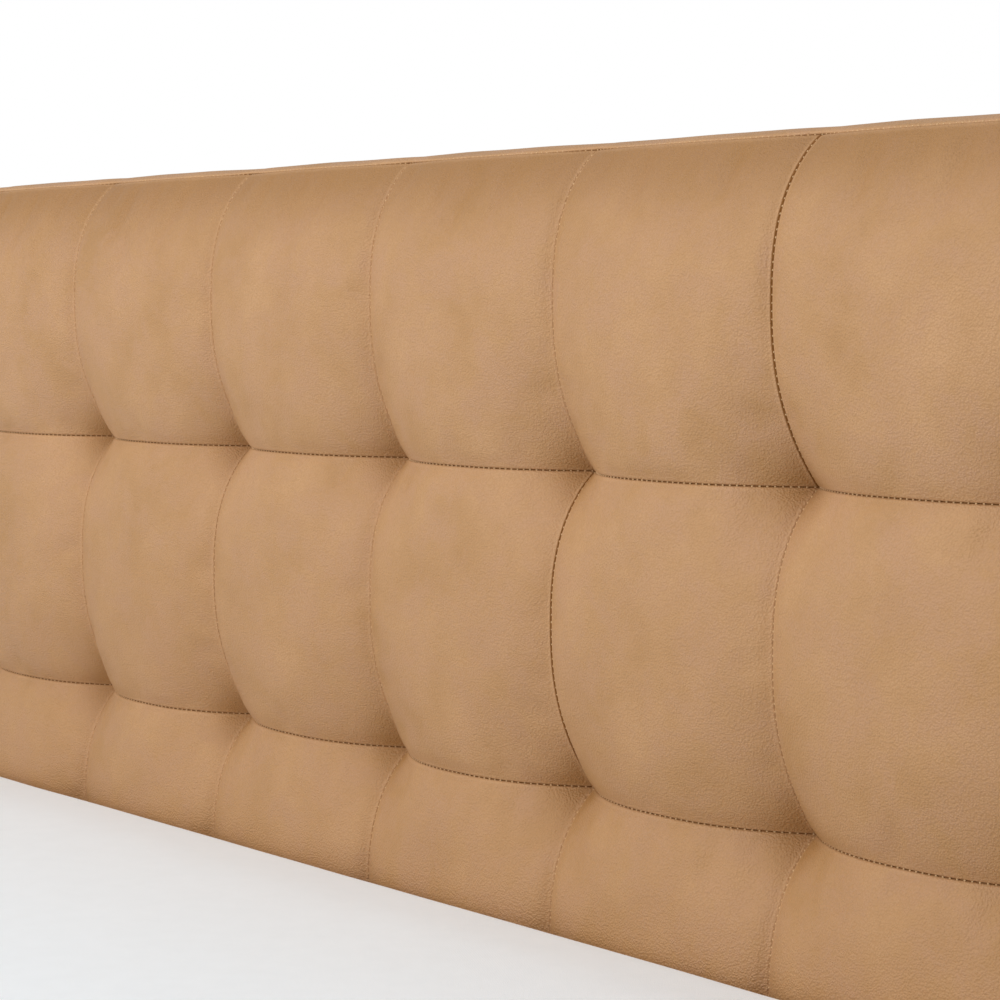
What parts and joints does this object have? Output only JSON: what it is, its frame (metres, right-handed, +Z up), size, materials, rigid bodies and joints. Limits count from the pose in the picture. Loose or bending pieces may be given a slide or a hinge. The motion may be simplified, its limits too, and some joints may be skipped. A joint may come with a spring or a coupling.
{
  "type": "upholstered headboard bed",
  "caption": "Upholstered bed with a tall leather headboard sewn in square padded tiles, low leather rails, slatted base and a plain mattress.",
  "frame": {"origin": "on the floor under the middle of the bed", "axes": "+Y towards the headboard, +X to the right seen from the foot, +Z up"},
  "size_m": [1.652, 2.192, 1.136],
  "materials": {
    "leather": "satin",
    "twine": "matte",
    "pine": "matte",
    "beech": "satin",
    "walnut_stained_wood": "satin",
    "plywood": "matte",
    "foam": "matte",
    "wadding": "matte",
    "zinc_steel": "satin",
    "black_steel": "satin",
    "black_plastic": "matte",
    "ticking": "matte",
    "webbing": "matte"
  },
  "bodies": {
    "bed_frame": {"beam_hangers": "black_steel", "centre_beam": "pine", "centre_leg_inserts": "black_plastic", "centre_leg_tube_foot": "black_steel", "centre_leg_tube_head": "black_steel", "foot_brackets": "black_steel", "foot_corner_block_left": "pine", "foot_corner_block_right": "pine", "foot_leg_left": "walnut_stained_wood", "foot_leg_right": "walnut_stained_wood", "foot_rail_core": "pine", "foot_rail_cover": "leather", "foot_rail_padding": "wadding", "glides": "black_plastic", "head_brackets": "black_steel", "headboard_back_cover": "leather", "headboard_edge_padding": "wadding", "headboard_foam": "foam", "headboard_frame_dowels": "beech", "headboard_lower_rail": "pine", "headboard_middle_rail": "pine", "headboard_packers": "beech", "headboard_panel_screws": "zinc_steel", "headboard_plywood_panel": "plywood", "headboard_post_left": "walnut_stained_wood", "headboard_post_right": "walnut_stained_wood", "headboard_side_boxing_left": "leather", "headboard_side_boxing_right": "leather", "headboard_skirt_cover": "leather", "headboard_skirt_foam": "foam", "headboard_stile_left": "pine", "headboard_stile_right": "pine", "headboard_top_boxing": "leather", "headboard_top_rail": "pine", "headboard_tuft_ties": "twine", "headboard_tuft_washers": "zinc_steel", "headboard_tufted_cover": "leather", "leg_bolts": "zinc_steel", "leg_t_nuts": "zinc_steel", "rail_bolts": "zinc_steel", "rail_screws": "zinc_steel", "rail_t_nuts": "zinc_steel", "side_rail_core_left": "pine", "side_rail_core_right": "pine", "side_rail_cover_left": "leather", "side_rail_cover_right": "leather", "side_rail_ledger_left": "pine", "side_rail_ledger_right": "pine", "side_rail_padding_left": "wadding", "side_rail_padding_right": "wadding", "slat_screws": "zinc_steel", "slat_webbing": "webbing", "slats": "beech"},
    "mattress": {"mattress_cover": "ticking", "mattress_core": "foam"},
    "leveller_pad_head": {"leveller_pad_head": "black_plastic"},
    "leveller_stud_head": {"leveller_stud_head": "zinc_steel"},
    "leveller_pad_foot": {"leveller_pad_foot": "black_plastic"},
    "leveller_stud_foot": {"leveller_stud_foot": "zinc_steel"}
  },
  "joints": [
    {"name": "mattress_lift", "type": "slide", "parent": "bed_frame", "child": "mattress", "axis": [0, 0, 1], "range_m": [0, 0.35]},
    {"name": "leveller_travel_head", "type": "slide", "parent": "bed_frame", "child": "leveller_pad_head", "axis": [0, 0, 1], "range_m": [-0.01, 0.01]},
    {"name": "leveller_turn_head", "type": "hinge", "parent": "leveller_pad_head", "child": "leveller_stud_head", "pos_m": [0, 0.4, 0.02], "axis": [0, 0, 1], "range_deg": [-2401, 2401]},
    {"name": "leveller_travel_foot", "type": "slide", "parent": "bed_frame", "child": "leveller_pad_foot", "axis": [0, 0, 1], "range_m": [-0.01, 0.01]},
    {"name": "leveller_turn_foot", "type": "hinge", "parent": "leveller_pad_foot", "child": "leveller_stud_foot", "pos_m": [0, -0.4, 0.02], "axis": [0, 0, 1], "range_deg": [-2401, 2401]}
  ],
  "couplings": [
    {"joint": "leveller_turn_head", "follows": "leveller_travel_head", "rad_per_m": 4188.8},
    {"joint": "leveller_turn_foot", "follows": "leveller_travel_foot", "rad_per_m": 4188.8}
  ]
}
